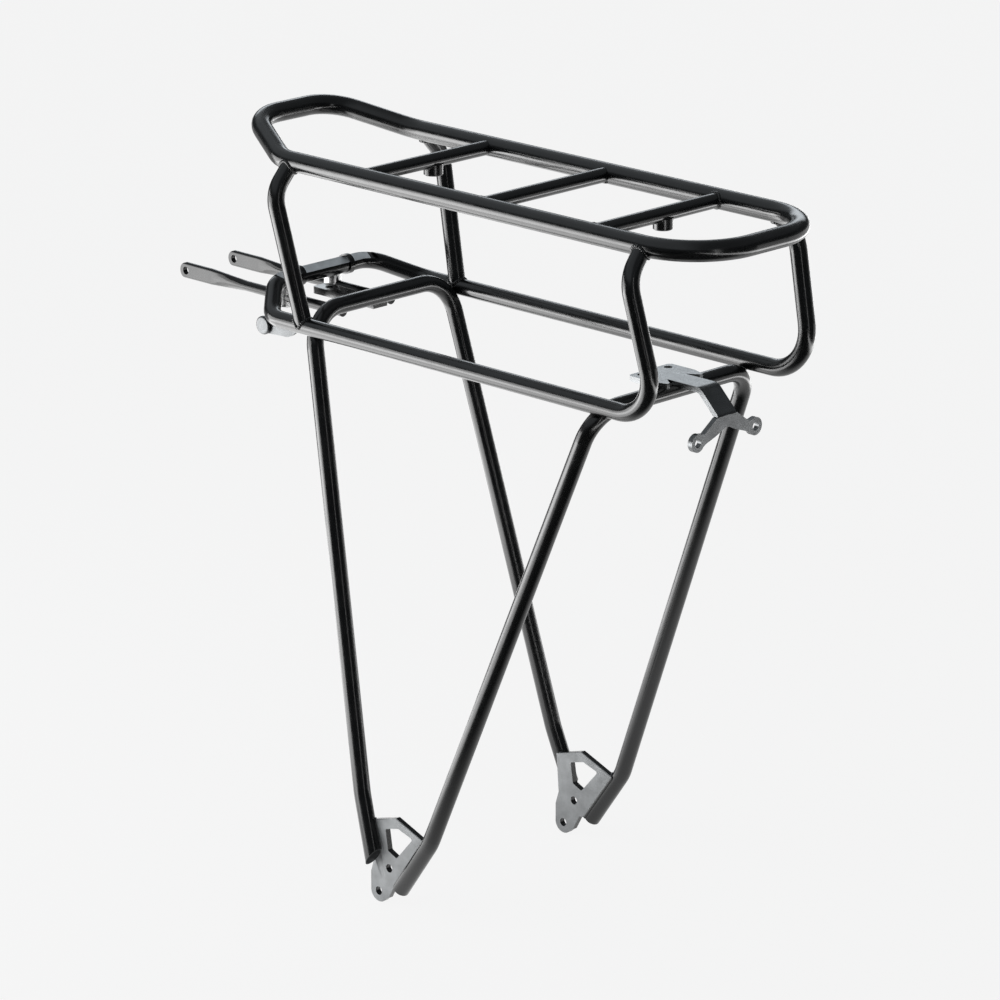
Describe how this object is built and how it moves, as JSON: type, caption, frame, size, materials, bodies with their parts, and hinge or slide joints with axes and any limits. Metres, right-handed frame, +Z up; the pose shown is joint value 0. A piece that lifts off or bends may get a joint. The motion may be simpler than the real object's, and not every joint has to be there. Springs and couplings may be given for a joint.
{
  "type": "bicycle rear rack",
  "caption": "Bent-tube bicycle rear rack with lower pannier rails, two leg hoops with foot plates, a rear lamp bracket and sliding mounting stays.",
  "frame": {"origin": "midway between the two foot plates' lower eyelets, on their common axis", "axes": "+X forward along the bicycle, +Y to its left, +Z up"},
  "size_m": [0.4853, 0.1872, 0.4696],
  "materials": {
    "black_powder_coat": "semi-gloss black powder coat",
    "graphite_coat": "satin mid-grey metallic",
    "bright_hardware": "bright plated steel"
  },
  "bodies": {
    "rack": {"top_hoop": "black_powder_coat", "crossbar_front": "black_powder_coat", "crossbar_middle": "black_powder_coat", "crossbar_rear": "black_powder_coat", "boss_front": "black_powder_coat", "boss_rear": "black_powder_coat", "rail_left": "black_powder_coat", "rail_right": "black_powder_coat", "front_bar": "black_powder_coat", "upright_left": "black_powder_coat", "upright_right": "black_powder_coat", "front_leg_hoop": "black_powder_coat", "rear_leg_hoop": "black_powder_coat", "mudguard_tab": "black_powder_coat", "foot_plate_left": "graphite_coat", "foot_plate_right": "graphite_coat", "light_bracket": "graphite_coat", "cable_lug": "graphite_coat", "lug_screw": "graphite_coat", "lug_nut": "bright_hardware"},
    "strap_left": {"clamp_strap_left": "black_powder_coat"},
    "clamp_left": {"eye_bolt_left": "bright_hardware", "clamp_saddle_left": "bright_hardware", "clamp_washer_left": "bright_hardware", "clamp_nut_left": "bright_hardware"},
    "stay_left": {"stay_left": "black_powder_coat"},
    "strap_right": {"clamp_strap_right": "black_powder_coat"},
    "clamp_right": {"eye_bolt_right": "bright_hardware", "clamp_saddle_right": "bright_hardware", "clamp_washer_right": "bright_hardware", "clamp_nut_right": "bright_hardware"},
    "stay_right": {"stay_right": "black_powder_coat"}
  },
  "joints": [
    {"name": "clamp_tilt_left", "type": "hinge", "parent": "rack", "child": "strap_left", "pos_m": [0.1342, 0.0208, 0.357], "axis": [0, -1, 0], "range_deg": [0, 25]},
    {"name": "stay_swivel_left", "type": "hinge", "parent": "strap_left", "child": "clamp_left", "pos_m": [0.147, 0.0208, 0.35], "axis": [0, 0, 1], "range_deg": [-8, 8]},
    {"name": "stay_slide_left", "type": "slide", "parent": "clamp_left", "child": "stay_left", "axis": [1, 0, 0], "range_m": [-0.028, 0.04]},
    {"name": "clamp_tilt_right", "type": "hinge", "parent": "rack", "child": "strap_right", "pos_m": [0.1342, -0.0208, 0.357], "axis": [0, -1, 0], "range_deg": [0, 25]},
    {"name": "stay_swivel_right", "type": "hinge", "parent": "strap_right", "child": "clamp_right", "pos_m": [0.147, -0.0208, 0.35], "axis": [0, 0, 1], "range_deg": [-8, 8]},
    {"name": "stay_slide_right", "type": "slide", "parent": "clamp_right", "child": "stay_right", "axis": [1, 0, 0], "range_m": [-0.028, 0.04]}
  ]
}
